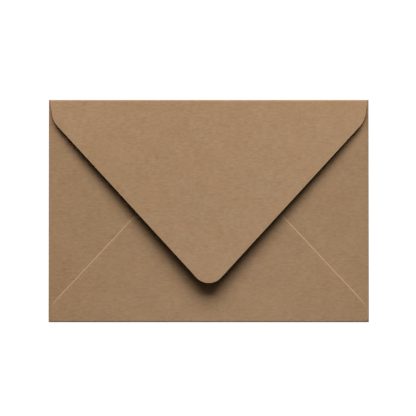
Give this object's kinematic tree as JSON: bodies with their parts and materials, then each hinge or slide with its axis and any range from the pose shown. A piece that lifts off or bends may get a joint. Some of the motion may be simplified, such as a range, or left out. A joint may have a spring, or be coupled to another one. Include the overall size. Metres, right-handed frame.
{
  "type": "envelope",
  "caption": "Plain kraft paper envelope with a deep pointed closing flap on a crease, diagonal glued seams and a gummed flap, lying on its address side.",
  "frame": {"origin": "middle of the address face, on the surface that the envelope lies on", "axes": "+X along the width, +Y from the bottom fold to the top fold, +Z out of the back, towards the flap"},
  "size_m": [0.165, 0.1146, 0.0104],
  "materials": {
    "kraft_paper": "matt, uncoated, faint fibres",
    "dried_glue": "satin",
    "flap_gum": "glossy film"
  },
  "bodies": {
    "pocket": {"front_panel": "kraft_paper", "left_side_flap": "kraft_paper", "right_side_flap": "kraft_paper", "bottom_flap": "kraft_paper", "left_seam_glue": "dried_glue", "right_seam_glue": "dried_glue", "left_fold": "kraft_paper", "right_fold": "kraft_paper", "bottom_fold": "kraft_paper", "top_fold": "kraft_paper"},
    "flap": {"top_flap": "kraft_paper", "seal_gum": "flap_gum"}
  },
  "joints": [
    {"name": "flap_hinge", "type": "hinge", "parent": "pocket", "child": "flap", "pos_m": [0, 0.05619, 0.00111], "axis": [-1, 0, 0], "range_deg": [-5, 170], "deforming": ["top_fold"]}
  ]
}
